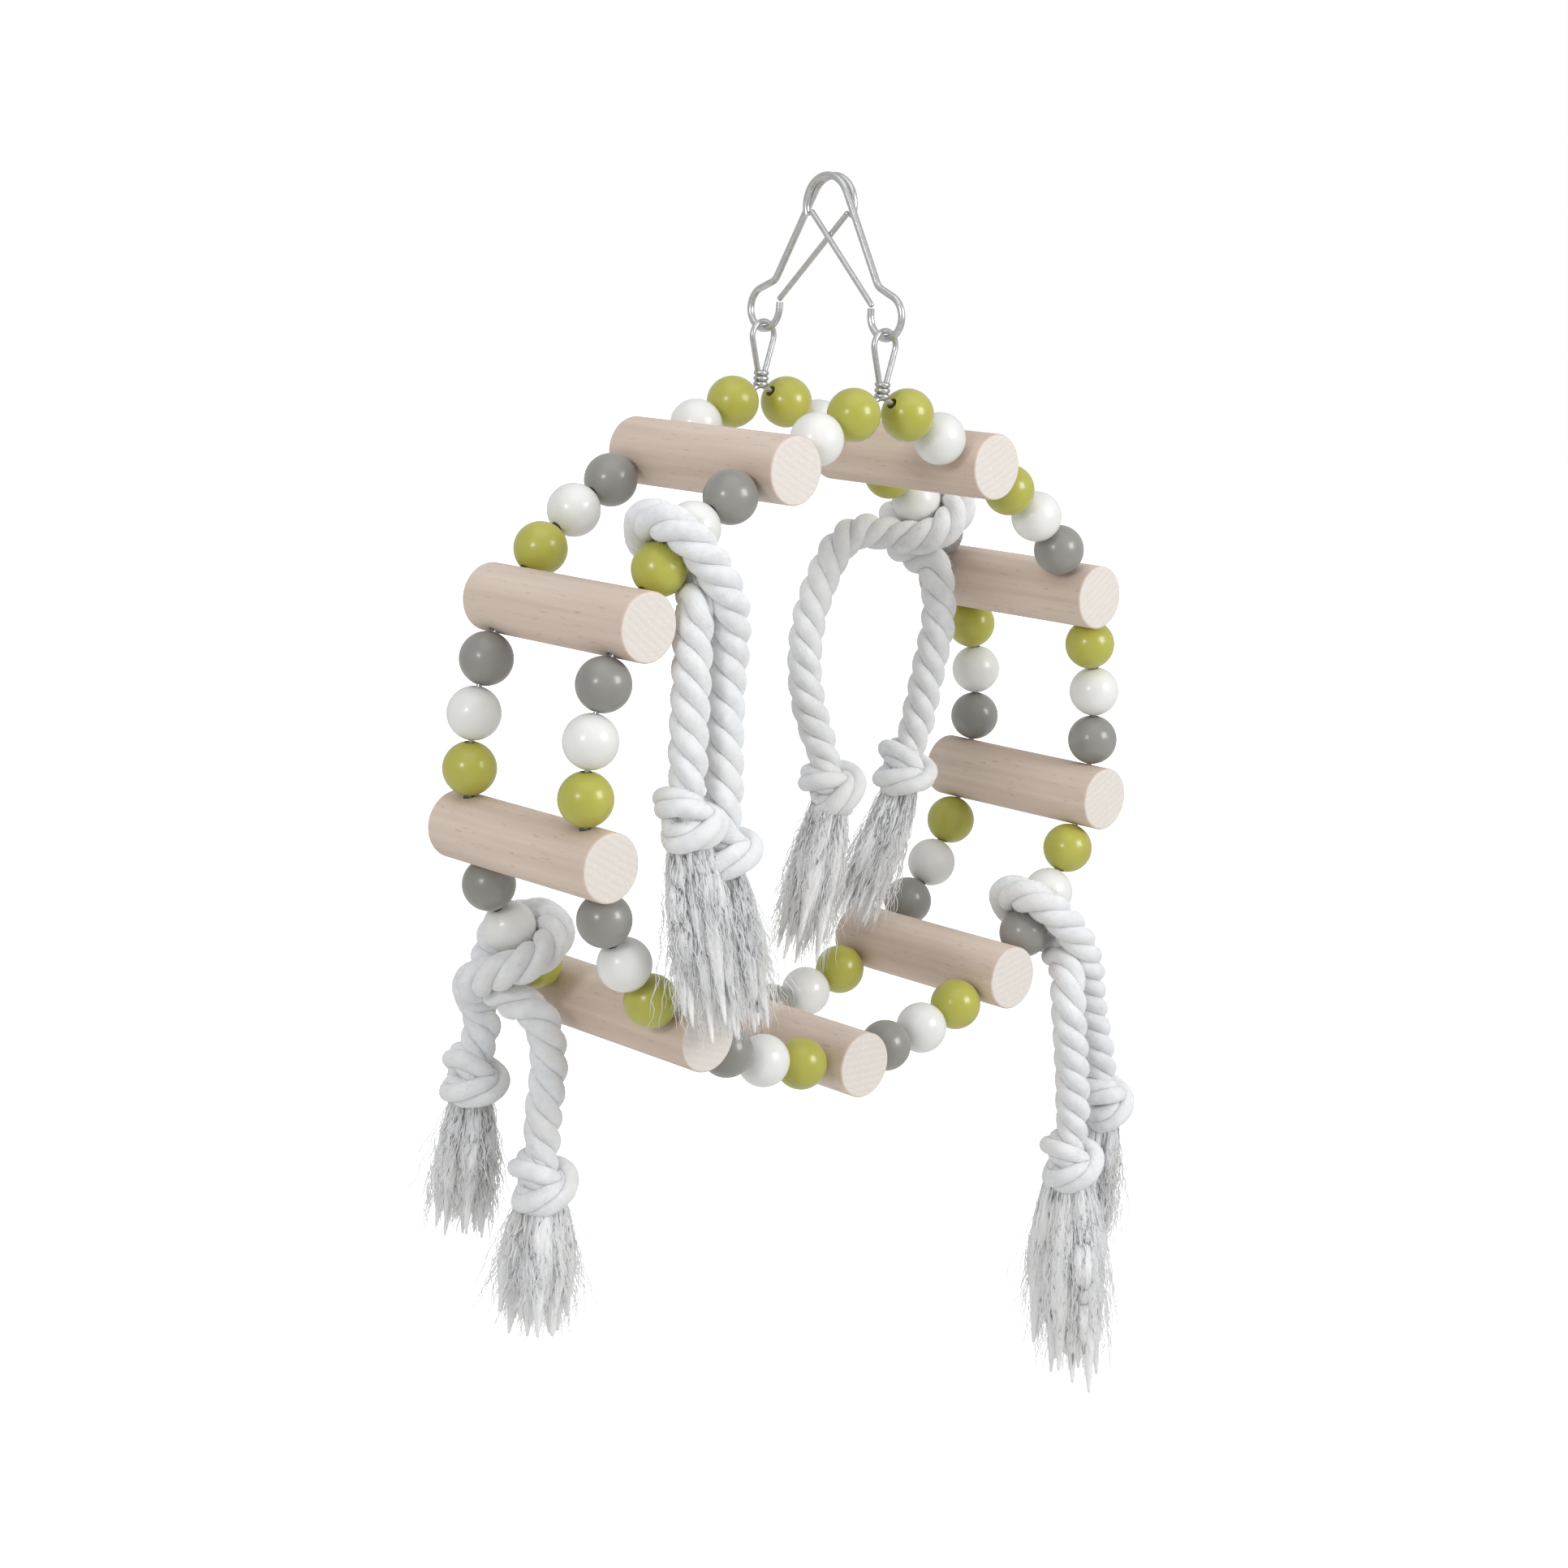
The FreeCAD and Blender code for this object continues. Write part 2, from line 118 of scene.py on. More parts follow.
# Each rope's route from the ring's centre, knot to knot. "before" runs up the first tail and then
# leads into the turn round the wire, and "after" leads out of the turn and then runs down the second
# tail. The tails' points are those of the CAD tubes, except that each tail's end is 2 to 3 mm short of
# its knot's centre, and that the points nearest to the turn are added or moved. The turn runs
# from the first angle to the second, measured from its top, with the front side positive. far_stretch
# widens its back half.
ROPES = {
    "front_left": {
        "before": [
            (-0.0640, -0.0385, -0.0140),
            (-0.0635, -0.0370, -0.0050),
            (-0.0625, -0.0350, 0.0090),
            (-0.0610, -0.0330, 0.0240),
            (-0.0610, -0.0340, 0.0380),
            (-0.0650, -0.0375, 0.0500),
        ],
        "turn": (90, -150),
        "after": [
            (-0.0685, -0.0270, 0.0505),
            (-0.0725, -0.0330, 0.0485),
            (-0.0730, -0.0320, 0.0420),
            (-0.0745, -0.0340, 0.0290),
            (-0.0755, -0.0350, 0.0160),
            (-0.0765, -0.0365, 0.0040),
            (-0.0760, -0.0365, -0.0050),
        ],
        "knots": ((-0.0640, -0.0385, -0.0170), (-0.0755, -0.0365, -0.0080)),
        "tassels": ((-0.0595, -0.0460, -0.0690), (-0.0715, -0.0465, -0.0670)),
        "widths": (0.022, 0.020),
        "facing": (math.radians(-44), math.radians(-20)),
        "far_stretch": 1.0,
    },
    "front_right": {
        "before": [
            (0.0880, -0.0390, -0.1280),
            (0.0870, -0.0395, -0.1175),
            (0.0845, -0.0400, -0.1030),
            (0.0815, -0.0405, -0.0900),
            (0.0800, -0.0400, -0.0790),
            (0.0825, -0.0370, -0.0705),
            (0.0875, -0.0270, -0.0660),
        ],
        "turn": (-150, 90),
        "after": [
            (0.0865, -0.0380, -0.0625),
            (0.0930, -0.0360, -0.0715),
            (0.0985, -0.0330, -0.0840),
            (0.1030, -0.0330, -0.0960),
            (0.1065, -0.0330, -0.1065),
            (0.1080, -0.0325, -0.1140),
        ],
        "knots": ((0.0880, -0.0390, -0.1310), (0.1085, -0.0325, -0.1160)),
        "tassels": ((0.0960, -0.0380, -0.2060), (0.1110, -0.0250, -0.1800)),
        "widths": (0.030, 0.020),
        "facing": (math.radians(-60), math.radians(-10)),
        "far_stretch": 1.0,
    },
    "back_right": {
        "before": [
            (0.0410, 0.0280, -0.0180),
            (0.0370, 0.0295, -0.0080),
            (0.0325, 0.0320, 0.0060),
            (0.0320, 0.0335, 0.0190),
            (0.0340, 0.0340, 0.0320),
            (0.0380, 0.0335, 0.0430),
            (0.0430, 0.0330, 0.0525),
            (0.0510, 0.0320, 0.0575),
            (0.0600, 0.0280, 0.0560),
            (0.0630, 0.0210, 0.0550),
            (0.0680, 0.0150, 0.0570),
        ],
        "turn": (90, -90),
        "after": [
            (0.0690, 0.0365, 0.0585),
            (0.0690, 0.0330, 0.0535),
            (0.0695, 0.0260, 0.0495),
            (0.0720, 0.0190, 0.0480),
            (0.0705, 0.0160, 0.0430),
            (0.0710, 0.0145, 0.0310),
            (0.0680, 0.0145, 0.0190),
            (0.0660, 0.0150, 0.0060),
            (0.0645, 0.0160, -0.0050),
            (0.0625, 0.0170, -0.0130),
        ],
        "knots": ((0.0415, 0.0280, -0.0210), (0.0620, 0.0170, -0.0155)),
        "tassels": ((0.0220, 0.0190, -0.0725), (0.0440, 0.0185, -0.0645)),
        "widths": (0.020, 0.017),
        "facing": (math.radians(-44), math.radians(-60)),
        "far_stretch": 1.15,
    },
    "back_left": {
        "before": [
            (-0.0860, 0.0375, -0.0925),
            (-0.0840, 0.0375, -0.0860),
            (-0.0835, 0.0370, -0.0765),
            (-0.0890, 0.0360, -0.0700),
            (-0.0945, 0.0290, -0.0640),
            (-0.0940, 0.0190, -0.0600),
            (-0.0875, 0.0120, -0.0565),
        ],
        "turn": (70, -90),
        "after": [
            (-0.0830, 0.0365, -0.0605),
            (-0.0870, 0.0280, -0.0670),
            (-0.0865, 0.0195, -0.0690),
            (-0.0825, 0.0145, -0.0715),
            (-0.0800, 0.0130, -0.0770),
            (-0.0785, 0.0125, -0.0880),
            (-0.0795, 0.0135, -0.0995),
            (-0.0790, 0.0140, -0.1105),
            (-0.0785, 0.0140, -0.1185),
        ],
        "knots": ((-0.0860, 0.0375, -0.0950), (-0.0785, 0.0140, -0.1210)),
        "tassels": ((-0.0870, 0.0390, -0.1430), (-0.0810, 0.0130, -0.1670)),
        "widths": (0.022, 0.028),
        "facing": (math.radians(-44), math.radians(-50)),
        "far_stretch": 1.25,
    },
}

# The overhand knot's route in its own frame, with the rope coming in from above
KNOT_ROUTE = [
    (0.0, 0.0, 8.5),
    (-1.0, 0.0, 6.5),
    (-2.8, 0.8, 3.0),
    (-3.6, 0.8, -1.5),
    (-5.0, -1.0, -5.2),
    (-3.5, -6.0, -5.6),
    (3.0, -7.4, -3.6),
    (7.2, -3.0, -1.6),
    (7.0, 3.8, 0.4),
    (1.0, 7.2, 2.2),
    (-5.5, 4.8, 3.8),
    (-6.4, -1.8, 4.8),
    (-2.0, -5.0, 4.4),
    (2.4, -3.4, 1.6),
    (2.6, -0.6, -2.5),
    (1.2, 0.0, -6.5),
    (0.0, 0.0, -9.5),
]


def joint_named(name):
    """A joint of the frame."""
    return next(joint for joint in frame["joints"] if joint["name"] == name)


def from_ring_centre(point):
    """A point given from the ring's centre, in the row's frame."""
    return RING_CENTRE + Vector(point)


# Materials


def new_material(name):
    """A material with its principled shader, for nodes to be added."""
    material = bpy.data.materials.new(name)
    material.use_nodes = True
    tree = material.node_tree
    return material, tree, tree.nodes["Principled BSDF"]


def node(tree, kind, **inputs):
    """A shader node with values or links for its inputs, named with underscores for spaces."""
    made = tree.nodes.new(kind)
    for key, value in inputs.items():
        socket = made.inputs[key.replace("_", " ")]
        if isinstance(value, bpy.types.NodeSocket):
            tree.links.new(value, socket)
        else:
            socket.default_value = value
    return made


def object_coordinates(tree, scale):
    """The piece's own coordinates, stretched, in units of metres times scale."""
    source = tree.nodes.new("ShaderNodeTexCoord").outputs["Object"]
    return node(tree, "ShaderNodeMapping", Vector=source, Scale=scale).outputs["Vector"]


def noise(tree, vector, scale, detail=3.0, roughness=0.55):
    """A noise value from 0 to 1."""
    made = node(tree, "ShaderNodeTexNoise", Vector=vector, Scale=scale, Detail=detail, Roughness=roughness)
    return made.outputs["Fac"]


def ramp(tree, value, stops):
    """A colour ramp with (position, colour) stops."""
    made = node(tree, "ShaderNodeValToRGB", Fac=value)
    elements = made.color_ramp.elements
    while len(elements) < len(stops):
        elements.new(1.0)
    for element, (position, colour) in zip(elements, stops):
        element.position = position
        element.color = (*colour, 1.0)
    return made.outputs["Color"]


def mixed(tree, share, first, second):
    """Two colours mixed by a share from 0 to 1."""
    made = tree.nodes.new("ShaderNodeMix")
    made.data_type = "RGBA"
    for socket, value in zip((made.inputs[0], made.inputs[6], made.inputs[7]), (share, first, second)):
        if isinstance(value, bpy.types.NodeSocket):
            tree.links.new(value, socket)
        else:
            socket.default_value = value
    return made.outputs[2]


def bumped(tree, shader, height, strength, distance):
    """Let a height drive the shader's normal."""
    made = node(tree, "ShaderNodeBump", Height=height, Strength=strength, Distance=distance)
    tree.links.new(made.outputs["Normal"], shader.inputs["Normal"])


def wood():
    """Sanded beech: straight grain along Y with short dark flecks, and paler end grain."""
    material, tree, shader = new_material("sanded_beech")
    grain = noise(tree, object_coordinates(tree, (520, 16, 520)), 1.0, 4.0)
    figure = noise(tree, object_coordinates(tree, (75, 7, 75)), 1.0, 2.0)
    flecks = noise(tree, object_coordinates(tree, (1300, 220, 1300)), 1.0, 1.0)
    body = ramp(tree, grain, [(0.32, (0.60, 0.475, 0.385)), (0.66, (0.73, 0.61, 0.515))])
    tint = ramp(tree, figure, [(0.35, (0.59, 0.465, 0.375)), (0.65, (0.77, 0.66, 0.57))])
    body = mixed(tree, 0.55, body, tint)
    fleck_share = ramp(tree, flecks, [(0.66, (0, 0, 0)), (0.74, (0.5, 0.5, 0.5))])
    body = mixed(tree, fleck_share, body, (0.47, 0.34, 0.26, 1))
    rings = tree.nodes.new("ShaderNodeTexWave")
    rings.wave_type = "RINGS"
    rings.rings_direction = "Y"
    tree.links.new(object_coordinates(tree, (260, 1, 260)), rings.inputs["Vector"])
    rings.inputs["Scale"].default_value = 0.6
    rings.inputs["Distortion"].default_value = 1.5
    pores = noise(tree, object_coordinates(tree, (1800, 1800, 1800)), 1.0, 2.0)
    speckle = ramp(tree, pores, [(0.35, (0.73, 0.675, 0.62)), (0.65, (0.78, 0.735, 0.685))])
    growth = ramp(tree, rings.outputs["Fac"], [(0.0, (0.0, 0.0, 0.0)), (1.0, (0.35, 0.35, 0.35))])
    end = mixed(tree, growth, speckle, (0.68, 0.61, 0.545, 1))
    normal = tree.nodes.new("ShaderNodeNewGeometry").outputs["Normal"]
    facing = node(tree, "ShaderNodeSeparateXYZ", Vector=normal).outputs["Y"]
    size = tree.nodes.new("ShaderNodeMath")
    size.operation = "ABSOLUTE"
    tree.links.new(facing, size.inputs[0])
    share = ramp(tree, size.outputs[0], [(0.75, (0, 0, 0)), (0.95, (1, 1, 1))])
    tree.links.new(mixed(tree, share, body, end), shader.inputs["Base Color"])
    shader.inputs["Roughness"].default_value = 0.62
    bumped(tree, shader, grain, 0.25, 0.0004)
    return material


def lacquer(name, dark, light):
    """Glossy lacquer on a turned bead, with slight unevenness in tone and surface."""
    material, tree, shader = new_material(name)
    patches = noise(tree, object_coordinates(tree, (90, 90, 90)), 1.0, 2.0)
    tree.links.new(ramp(tree, patches, [(0.3, dark), (0.7, light)]), shader.inputs["Base Color"])
    wear = noise(tree, object_coordinates(tree, (500, 500, 500)), 1.0, 3.0)
    gloss = node(tree, "ShaderNodeMapRange", Value=wear)
    gloss.inputs["To Min"].default_value = 0.26
    gloss.inputs["To Max"].default_value = 0.38
    tree.links.new(gloss.outputs["Result"], shader.inputs["Roughness"])
    shader.inputs["Coat Weight"].default_value = 0.35
    shader.inputs["Coat Roughness"].default_value = 0.16
    orange_peel = noise(tree, object_coordinates(tree, (700, 700, 700)), 1.0, 1.0)
    bumped(tree, shader, orange_peel, 0.06, 0.0004)
    return material


def metal(name, colour, roughness):
    """Drawn wire with fine scuffs."""
    material, tree, shader = new_material(name)
    scuffs = noise(tree, object_coordinates(tree, (900, 900, 900)), 1.0, 4.0)
    duller = tuple(0.86 * part for part in colour)
    tree.links.new(ramp(tree, scuffs, [(0.35, duller), (0.6, colour)]), shader.inputs["Base Color"])
    finish = node(tree, "ShaderNodeMapRange", Value=scuffs)
    finish.inputs["To Min"].default_value = roughness
    finish.inputs["To Max"].default_value = roughness + 0.10
    tree.links.new(finish.outputs["Result"], shader.inputs["Roughness"])
    shader.inputs["Metallic"].default_value = 1.0
    bumped(tree, shader, scuffs, 0.03, 0.0001)
    return material


def cotton(name, shade, light, warm, softness, sheen):
    """Matt cotton with soft tone changes, a few warmer patches and fine fibres in its bump."""
    material, tree, shader = new_material(name)
    tone = noise(tree, object_coordinates(tree, (260, 260, 260)), 1.0, 4.0)
    patches = noise(tree, object_coordinates(tree, (70, 70, 70)), 1.0, 2.0)
    base = ramp(tree, tone, [(0.3, shade), (0.7, light)])
    share = ramp(tree, patches, [(0.45, (0, 0, 0)), (0.72, (0.8, 0.8, 0.8))])
    tree.links.new(mixed(tree, share, base, (*warm, 1)), shader.inputs["Base Color"])
    shader.inputs["Roughness"].default_value = 0.95
    shader.inputs["Specular IOR Level"].default_value = 0.15
    shader.inputs["Sheen Weight"].default_value = sheen
    shader.inputs["Sheen Roughness"].default_value = 0.5
    shader.inputs["Subsurface Weight"].default_value = softness
    shader.inputs["Subsurface Radius"].default_value = (1.0, 0.95, 0.9)
    shader.inputs["Subsurface Scale"].default_value = 0.0015
    fibres = noise(tree, object_coordinates(tree, (2600, 2600, 1500)), 1.0, 2.0)
    bumped(tree, shader, fibres, 0.35, 0.0003)
    return material


WOOD = wood()
LACQUERS = {
    "olive": lacquer("olive_lacquer", (0.42, 0.415, 0.055), (0.48, 0.465, 0.075)),
    "white": lacquer("white_lacquer", (0.77, 0.77, 0.74), (0.84, 0.84, 0.81)),
    "grey": lacquer("grey_lacquer", (0.25, 0.245, 0.225), (0.30, 0.295, 0.27)),
}
RING_STEEL = metal("ring_steel", (0.60, 0.60, 0.61), 0.28)
HOOK_STEEL = metal("hook_steel", (0.66, 0.66, 0.66), 0.24)
ROPE_COTTON = cotton("rope_cotton", (0.74, 0.755, 0.77), (0.86, 0.87, 0.88), (0.80, 0.795, 0.78), 0.5, 0.25)
TASSEL_COTTON = cotton(
    "tassel_cotton",
    (0.93, 0.935, 0.935),
    (0.98, 0.985, 0.985),
    (0.95, 0.92, 0.865),
    softness=1.0,
    sheen=1.0,
)


def paint(piece, material):
    """Give a piece or a CAD node one material."""
    piece.data.materials.clear()
    piece.data.materials.append(material)


# Camera, light and backdrop


def make_camera():
    """The camera, turned a little about its own axis."""
    flat = math.cos(CAMERA_ELEVATION)
    back = Vector(
        (math.sin(CAMERA_AZIMUTH) * flat, -math.cos(CAMERA_AZIMUTH) * flat, math.sin(CAMERA_ELEVATION))
    )
    level = Vector((math.cos(CAMERA_AZIMUTH), math.sin(CAMERA_AZIMUTH), 0))
    right = Matrix.Rotation(CAMERA_ROLL, 3, back) @ level
    up = back.cross(right)
    camera = bpy.data.objects.new("camera", bpy.data.cameras.new("camera"))
    bpy.context.scene.collection.objects.link(camera)
    camera.matrix_world = Matrix.Translation(RING_CENTRE + back * CAMERA_DISTANCE) @ Matrix(
        (right, up, back)
    ).transposed().to_4x4()
    camera.data.lens = CAMERA_LENS
    camera.data.sensor_width = 36
    camera.data.shift_x, camera.data.shift_y = CAMERA_SHIFT
    camera.data.clip_start, camera.data.clip_end = 0.05, 20
    bpy.context.scene.camera = camera
    return right, up, back


def area_light(name, direction, size, power):
    """A square soft light aimed at the ring's centre."""
    light = bpy.data.objects.new(name, bpy.data.lights.new(name, "AREA"))
    light.data.size = size
    light.data.energy = power
    light.location = RING_CENTRE + direction.normalized() * LIGHT_DISTANCE
    light.rotation_euler = direction.to_track_quat("Z", "Y").to_euler()
    bpy.context.scene.collection.objects.link(light)


def make_light(right, up, back):
    """A grey room, brighter below, that looks white to the camera, with lights left, right and above."""
    world = bpy.data.worlds.new("room")
    bpy.context.scene.world = world
    world.use_nodes = True
    tree = world.node_tree
    background = tree.nodes["Background"]
    direction = tree.nodes.new("ShaderNodeTexCoord").outputs["Generated"]
    height = node(tree, "ShaderNodeSeparateXYZ", Vector=direction).outputs["Z"]
    lift = node(tree, "ShaderNodeMapRange", Value=height)
    lift.inputs["From Min"].default_value = -1.0
    stops = [(0.0, (0.86, 0.85, 0.84)), (0.40, (0.60, 0.60, 0.60)), (1.0, (0.60, 0.61, 0.63))]
    shade = ramp(tree, lift.outputs["Result"], stops)
    seen = tree.nodes.new("ShaderNodeLightPath").outputs["Is Camera Ray"]
    tree.links.new(mixed(tree, seen, shade, (1, 1, 1, 1)), background.inputs["Color"])
    area_light("near_light", back - right * 0.55 + up * 0.25, size=0.22, power=3.0)
    area_light("right_light", back * 0.6 + right * 1.0 + up * 0.35, size=0.5, power=7.5)
    area_light("top_light", up * 1.0 + back * 0.5, size=1.2, power=3.0)


def make_floor():
    """A white floor well below the hanging ladder, which only the camera sees."""
    bpy.ops.mesh.primitive_plane_add(size=FLOOR_SIZE, location=(0, 0, FLOOR_Z))
    floor = bpy.context.object
    floor.name = "floor"
    floor.visible_diffuse = False
    floor.visible_glossy = False
    material, _, shader = new_material("pale_floor")
    shader.inputs["Base Color"].default_value = (0.9, 0.9, 0.9, 1)
    shader.inputs["Roughness"].default_value = 1.0
    shader.inputs["Emission Color"].default_value = (1, 1, 1, 1)
    shader.inputs["Emission Strength"].default_value = 1.0
    floor.data.materials.append(material)


# Meshes


def new_piece(name, shape, material, body, nodes):
    """A smooth mesh that rides on a body, takes one material and stands for CAD nodes."""
    mesh = bpy.data.meshes.new(name)
    mesh.from_pydata(shape.vertices, [], shape.faces)
    mesh.update()
    mesh.shade_smooth()
    piece = bpy.data.objects.new(name, mesh)
    bpy.context.scene.collection.objects.link(piece)
    paint(piece, material)
    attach(piece, body)
    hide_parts(*nodes)
    return piece


def spline_points(points):
    """The smooth line of a route: a NURBS spline with the route's points as its control points."""
    curve = bpy.data.curves.new("route", "CURVE")
    curve.dimensions = "3D"
    spline = curve.splines.new("NURBS")
    spline.points.add(len(points) - 1)
    for control, point in zip(spline.points, points):
        control.co = (*point, 1)
    spline.order_u = 3
    spline.use_endpoint_u = True
    spline.resolution_u = 14
    holder = bpy.data.objects.new("route", curve)
    mesh = bpy.data.meshes.new_from_object(holder)
    line = [vertex.co.copy() for vertex in mesh.vertices]
    bpy.data.objects.remove(holder)
    bpy.data.meshes.remove(mesh)
    bpy.data.curves.remove(curve)
    return line


def tangents(line):
    """The line's direction at each of its points."""
    padded = [line[0], *line, line[-1]]
    return [(after - before).normalized() for before, after in zip(padded, padded[2:])]


def frames(line):
    """A direction, and two that are square to it and turn as little as possible, for each point."""
    along = tangents(line)
    side = along[0].orthogonal().normalized()
    made = []
    for direction in along:
        side = (side - direction * side.dot(direction)).normalized()
        made.append((direction, side, direction.cross(side)))
    return made


class Mesh:
    """Vertices and faces gathered from many tubes."""

    def __init__(self):
        self.vertices = []
        self.faces = []

    def add_rings(self, rings):
        """Closed rings of equal count joined into one capped tube."""
        start = len(self.vertices)
        count = len(rings[0])
        for ring in rings:
            self.vertices.extend(ring)
        for row in range(len(rings) - 1):
            low = start + row * count
            for at in range(count):
                after = (at + 1) % count
                self.faces.append((low + at, low + after, low + count + after, low + count + at))
        self.faces.append(tuple(range(start + count - 1, start - 1, -1)))
        last = start + (len(rings) - 1) * count
        self.faces.append(tuple(range(last, last + count)))

    def add_tube(self, line, radii, sides):
        """A round tube along a line, with one radius per point."""
        turns = [math.tau * at / sides for at in range(sides)]
        rings = []
        for (_, side, over), point, radius in zip(frames(line), line, radii):
            spokes = [side * math.cos(turn) + over * math.sin(turn) for turn in turns]
            rings.append([point + spoke * radius for spoke in spokes])
        self.add_rings(rings)


def strand_rings(line, phase, scales, lay, spread, seed):
    """Rings of one strand that winds round a rope's line, with its yarns as ridges."""
    sides = YARNS * SIDES_PER_YARN
    centres = []
    outward = []
    distances = [0.0]
    turn = phase
    for at, (point, (_, side, over), scale) in enumerate(zip(line, frames(line), scales)):
        if at:
            distances.append(distances[-1] + (point - line[at - 1]).length)
            turn -= math.tau * (distances[-1] - distances[-2]) / lay
        direction = side * math.cos(turn) + over * math.sin(turn)
        outward.append(direction)
        centres.append(point + direction * (STRAND_PATH_RADIUS * scale * spread))
    rings = []
    drift = random.Random(seed)
    wobble = [drift.uniform(0, math.tau) for _ in range(3)]
    for centre, out, along, scale, far in zip(centres, outward, tangents(centres), scales, distances):
        normal = (out - along * out.dot(along)).normalized()
        across = along.cross(normal)
        swell = 1 + sum(size * math.sin(far * rate + start) for (size, rate), start in zip(SWELLS, wobble))
        ring = []
        for step in range(sides):
            angle = math.tau * step / sides
            yarn = math.cos(YARNS * (angle + math.tau * far / YARN_LAY) + wobble[2])
            radius = (STRAND_RADIUS * swell + YARN_DEPTH * (yarn - 1) / 2) * scale
            ring.append(centre + normal * (radius * math.cos(angle)) + across * (radius * math.sin(angle)))
        rings.append(ring)
    return rings


def add_rope(mesh, line, scales, lay, spread, seed):
    """Three strands along a line, pressed together where their spread is below 1."""
    for number in range(3):
        phase = math.tau * number / 3
        mesh.add_rings(strand_rings(line, phase, scales, lay, spread, seed + number))


def add_fuzz(mesh, line, radius, count, seed):
    """Short loose fibres that stand off a rope's surface."""
    chance = random.Random(seed)
    places = frames(line)
    for _ in range(count):
        at = chance.randrange(2, len(line) - 2)
        along, side, over = places[at]
        turn = chance.uniform(0, math.tau)
        out = side * math.cos(turn) + over * math.sin(turn)
        root = line[at] + out * (radius * 0.9)
        lean = (along * chance.uniform(-1.2, 1.2) + out * chance.uniform(0.2, 1.0)).normalized()
        curl = (out.cross(lean) * chance.uniform(-0.7, 0.7) + lean).normalized()
        long = chance.uniform(0.0006, 0.0019)
        fibre = [root, root + lean * (long * 0.5), root + lean * (long * 0.5) + curl * (long * 0.5)]
        mesh.add_tube(fibre, [FUZZ_RADIUS, FUZZ_RADIUS, FUZZ_RADIUS / 2], 3)


# Ropes


def rope_route(name, rope):
    """All control points of a rope, knot to knot, with its turn round the wire worked out."""
    joint = joint_named(f"{name}_rope_swing")
    centre = Vector(joint["pos_m"])
    heading = Vector(joint["axis"]).normalized()
    down = Vector((heading.z, 0, -heading.x))
    if down.z > 0:
        down = -down
    front = Vector((0, -1, 0))
    reach = TURN_RADIUS / math.cos(math.radians(TURN_STEP / 2))
    first, last = rope["turn"]
    direction = 1 if last > first else -1
    turn = []
    for number in range(abs(last - first) // TURN_STEP + 1):
        angle = math.radians(first + direction * TURN_STEP * number)
        across = math.sin(angle) * (rope["far_stretch"] if angle < 0 else 1.0)
        turn.append(centre + (front * across - down * math.cos(angle)) * reach)
    before = [from_ring_centre(point) for point in rope["before"]]
    after = [from_ring_centre(point) for point in rope["after"]]
    return before + turn + after


def make_rope(name, rope, seed):
    """The laid rope of one hitch and its two tails, as a free cord with its knots and tassels.
    """
    body = f"{name}_rope"
    line = spline_points(rope_route(name, rope))
    last = len(line) - 1
    ends = [max(0.0, 1 - min(at, last - at) / END_FADE) for at in range(len(line))]
    scales = [1.0 - END_THINNING * end for end in ends]
    mesh = Mesh()
    add_rope(mesh, line, scales, ROPE_LAY, 1.0, seed)
    add_fuzz(mesh, line, ROPE_DIAMETER / 2, ROPE_FUZZ, seed)
    nodes = [f"{body}_hitch", f"{body}_tail_1", f"{body}_tail_2"]
    piece = new_piece(body, mesh, ROPE_COTTON, body, nodes)
    for number in (1, 2):
        make_knot(name, rope, number, line if number == 2 else line[::-1], seed + number)
        make_tassel(name, rope, number, seed + 10 * number)


def knot_axes(down, heading):
    """Axes for a knot: Z against the tail's direction, and Y away from the side that it faces."""
    up = -down.normalized()
    away = -Vector((math.sin(heading), -math.cos(heading), 0))
    right = away.cross(up).normalized()
    return Matrix((right, up.cross(right), up)).transposed()


def make_knot(name, rope, number, line, seed):
    """The overhand knot at one end of a rope, pulled tight in the tail's direction."""
    body = f"{name}_rope"
    centre = from_ring_centre(rope["knots"][number - 1])
    axes = knot_axes(line[-1] - line[-TAIL_END_POINTS], rope["facing"][number - 1])
    points = [centre + axes @ (Vector(point) * MM * KNOT_SIZE) for point in KNOT_ROUTE]
    route = spline_points(points)
    mesh = Mesh()
    add_rope(mesh, route, [KNOT_ROPE_SCALE] * len(route), KNOT_LAY, KNOT_SPREAD, seed)
    add_fuzz(mesh, route, ROPE_DIAMETER / 2 * KNOT_ROPE_SCALE, KNOT_FUZZ, seed)
    node_name = f"{body}_knot_{number}"
    piece_name = f"{body}_end_knot_{number}"
    return new_piece(piece_name, mesh, ROPE_COTTON, body, [node_name])


def tassel_locks(chance, side, over):
    """The locks that a frayed end parts into, each with its own place, length and wave."""
    locks = []
    for number in range(LOCKS):
        turn = math.tau * number * LOCK_TURN + chance.uniform(-0.4, 0.4)
        lock = {
            "out": side * math.cos(turn) + over * math.sin(turn),
            "far": (0.6 + 0.4 * (number % 3) / 2) * chance.uniform(0.9, 1.1),
            "long": chance.uniform(0.80, 1.0),
            "wave": chance.uniform(0, math.tau),
            "pitch": chance.uniform(0.016, 0.026),
            "sway": chance.uniform(0.0004, 0.0012),
        }
        locks.append(lock)
    return locks


def flare_at(width, share):
    """A frayed end's radius at a share of its length."""
    return TASSEL_NECK + (width / 2 - TASSEL_NECK) * share**FLARE_POWER


def lock_point(lock, start, axes, long, width, share):
    """A point on a lock's middle line at a share of its length."""
    down, side, _ = axes
    along = long * lock["long"] * share
    sway = lock["sway"] * math.sin(math.tau * along / lock["pitch"] + lock["wave"]) * min(1.0, 3 * share)
    reach = lock["far"] * flare_at(width, share) * LOCK_PLACE
    return start + down * along + lock["out"] * reach + side * sway


